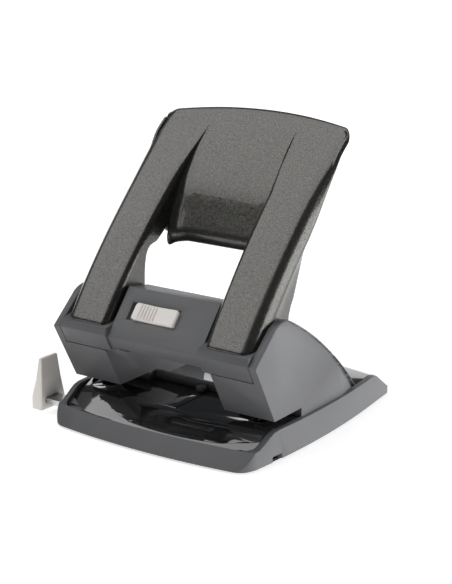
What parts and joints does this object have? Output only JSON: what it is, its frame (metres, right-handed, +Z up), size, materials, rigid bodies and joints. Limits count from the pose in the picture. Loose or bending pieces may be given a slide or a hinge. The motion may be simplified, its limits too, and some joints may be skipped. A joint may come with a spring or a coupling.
{
  "type": "hole punch",
  "caption": "Two-hole desk punch with a tall forked press handle, side pillars over paper slots, a glossy table, a lock slide and a pull-out paper guide.",
  "frame": {"origin": "on the ground, midway between the two punches and straight below the punching line", "axes": "+X across the two punches towards the user's right, +Y towards the rear where the pressed handle goes, +Z up"},
  "size_m": [0.123, 0.1289, 0.131],
  "materials": {
    "tray_plastic": "fine matte grain",
    "table_gloss": "high gloss",
    "plate_steel": "zinc plated",
    "hard_steel": "ground",
    "spring_steel": "drawn wire",
    "screw_steel": "zinc plated",
    "lid_plastic": "soft matte",
    "foot_rubber": "matte",
    "housing_plastic": "fine matte grain",
    "cast_metal": "die cast",
    "bush_brass": "turned",
    "handle_lacquer": "glossy metallic lacquer",
    "beige_plastic": "satin",
    "rail_metal": "brushed"
  },
  "bodies": {
    "base": {"base_tray": "tray_plastic", "table_cover": "table_gloss", "die_plate": "plate_steel", "left_die_insert": "hard_steel", "right_die_insert": "hard_steel", "chip_tray_rod": "plate_steel", "front_foot_strip": "foot_rubber", "rear_feet": "foot_rubber", "rail_keeper": "plate_steel", "left_housing": "housing_plastic", "right_housing": "housing_plastic", "left_punch_block": "cast_metal", "right_punch_block": "cast_metal", "left_guide_bush": "bush_brass", "right_guide_bush": "bush_brass", "left_pivot_axle": "hard_steel", "right_pivot_axle": "hard_steel", "left_axle_clip": "plate_steel", "right_axle_clip": "plate_steel", "left_return_spring": "spring_steel", "right_return_spring": "spring_steel", "paper_stop_bar": "housing_plastic", "centre_nub": "housing_plastic", "block_screws": "screw_steel", "cover_screws": "screw_steel"},
    "handle": {"handle_shell": "handle_lacquer", "handle_frame": "housing_plastic", "left_lever": "plate_steel", "right_lever": "plate_steel", "lever_bar": "hard_steel", "handle_screws": "screw_steel"},
    "left_pin": {"left_punch_pin": "hard_steel", "left_pin_collar": "plate_steel"},
    "right_pin": {"right_punch_pin": "hard_steel", "right_pin_collar": "plate_steel"},
    "lock": {"lock_slider": "beige_plastic", "lock_bolt": "plate_steel"},
    "paper_guide": {"paper_guide_rail": "rail_metal", "paper_guide_tab": "beige_plastic"},
    "chip_lid": {"chip_tray": "lid_plastic"}
  },
  "joints": [
    {"name": "handle_press", "type": "hinge", "parent": "base", "child": "handle", "pos_m": [0, -0.013, 0.0405], "axis": [-1, 0, 0], "range_deg": [0, 35], "stiffness_Nm_per_rad": 0.4, "springref_deg": -28.65},
    {"name": "left_pin_travel", "type": "slide", "parent": "base", "child": "left_pin", "axis": [0, 0, -1], "range_m": [0, 0.0088], "deforming": ["left_return_spring"]},
    {"name": "right_pin_travel", "type": "slide", "parent": "base", "child": "right_pin", "axis": [0, 0, -1], "range_m": [0, 0.0088], "deforming": ["right_return_spring"]},
    {"name": "lock_slide", "type": "slide", "parent": "handle", "child": "lock", "axis": [-1, 0, 0], "range_m": [0, 0.0026]},
    {"name": "paper_guide_slide", "type": "slide", "parent": "base", "child": "paper_guide", "axis": [-1, 0, 0], "range_m": [-0.0065, 0.087]},
    {"name": "chip_lid_swing", "type": "hinge", "parent": "base", "child": "chip_lid", "pos_m": [0, 0.082, 0.002], "axis": [1, 0, 0], "range_deg": [0, 75]}
  ],
  "couplings": [
    {"joint": "left_pin_travel", "follows": "handle_press", "m_per_rad": 0.01432},
    {"joint": "right_pin_travel", "follows": "handle_press", "m_per_rad": 0.01432}
  ]
}
